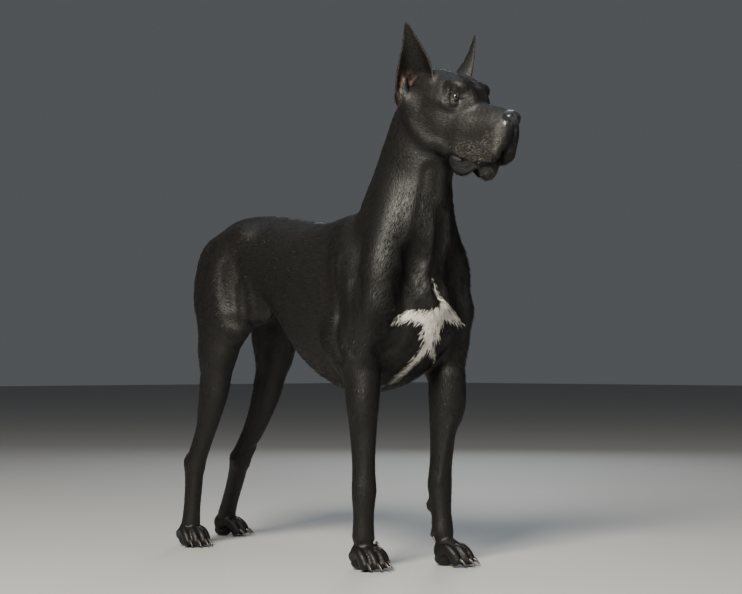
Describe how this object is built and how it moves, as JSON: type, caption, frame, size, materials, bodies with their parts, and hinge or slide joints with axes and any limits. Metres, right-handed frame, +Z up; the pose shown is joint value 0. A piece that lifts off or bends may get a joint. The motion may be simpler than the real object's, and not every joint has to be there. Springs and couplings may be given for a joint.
{
  "type": "life-size great dane model",
  "caption": "Standing black great dane with cropped, upright ears and a white mark on the chest, as a still, life-size museum model",
  "frame": {"origin": "on the floor, under the middle of the model's bounding box", "axes": "+X forward, the way the dog faces; +Y to the dog's left; +Z up"},
  "size_m": [1.1986, 0.356, 1.2166],
  "materials": {
    "flesh": "short, glossy black coat over skin",
    "eye": "wet brown eye",
    "claw": "dark horn, slightly worn"
  },
  "bodies": {
    "root": {"ear_left": "flesh", "ear_right": "flesh", "eye_left": "eye", "eye_right": "eye", "head": "flesh", "left_fore_claw_1": "claw", "left_fore_claw_2": "claw", "left_fore_claw_3": "claw", "left_fore_claw_4": "claw", "left_fore_leg": "flesh", "left_fore_paw": "flesh", "left_hind_claw_1": "claw", "left_hind_claw_2": "claw", "left_hind_claw_3": "claw", "left_hind_claw_4": "claw", "left_hind_leg": "flesh", "left_hind_paw": "flesh", "lower_jaw": "flesh", "neck": "flesh", "right_fore_claw_1": "claw", "right_fore_claw_2": "claw", "right_fore_claw_3": "claw", "right_fore_claw_4": "claw", "right_fore_leg": "flesh", "right_fore_paw": "flesh", "right_hind_claw_1": "claw", "right_hind_claw_2": "claw", "right_hind_claw_3": "claw", "right_hind_claw_4": "claw", "right_hind_leg": "flesh", "right_hind_paw": "flesh", "tail": "flesh", "torso": "flesh"}
  },
  "joints": []
}
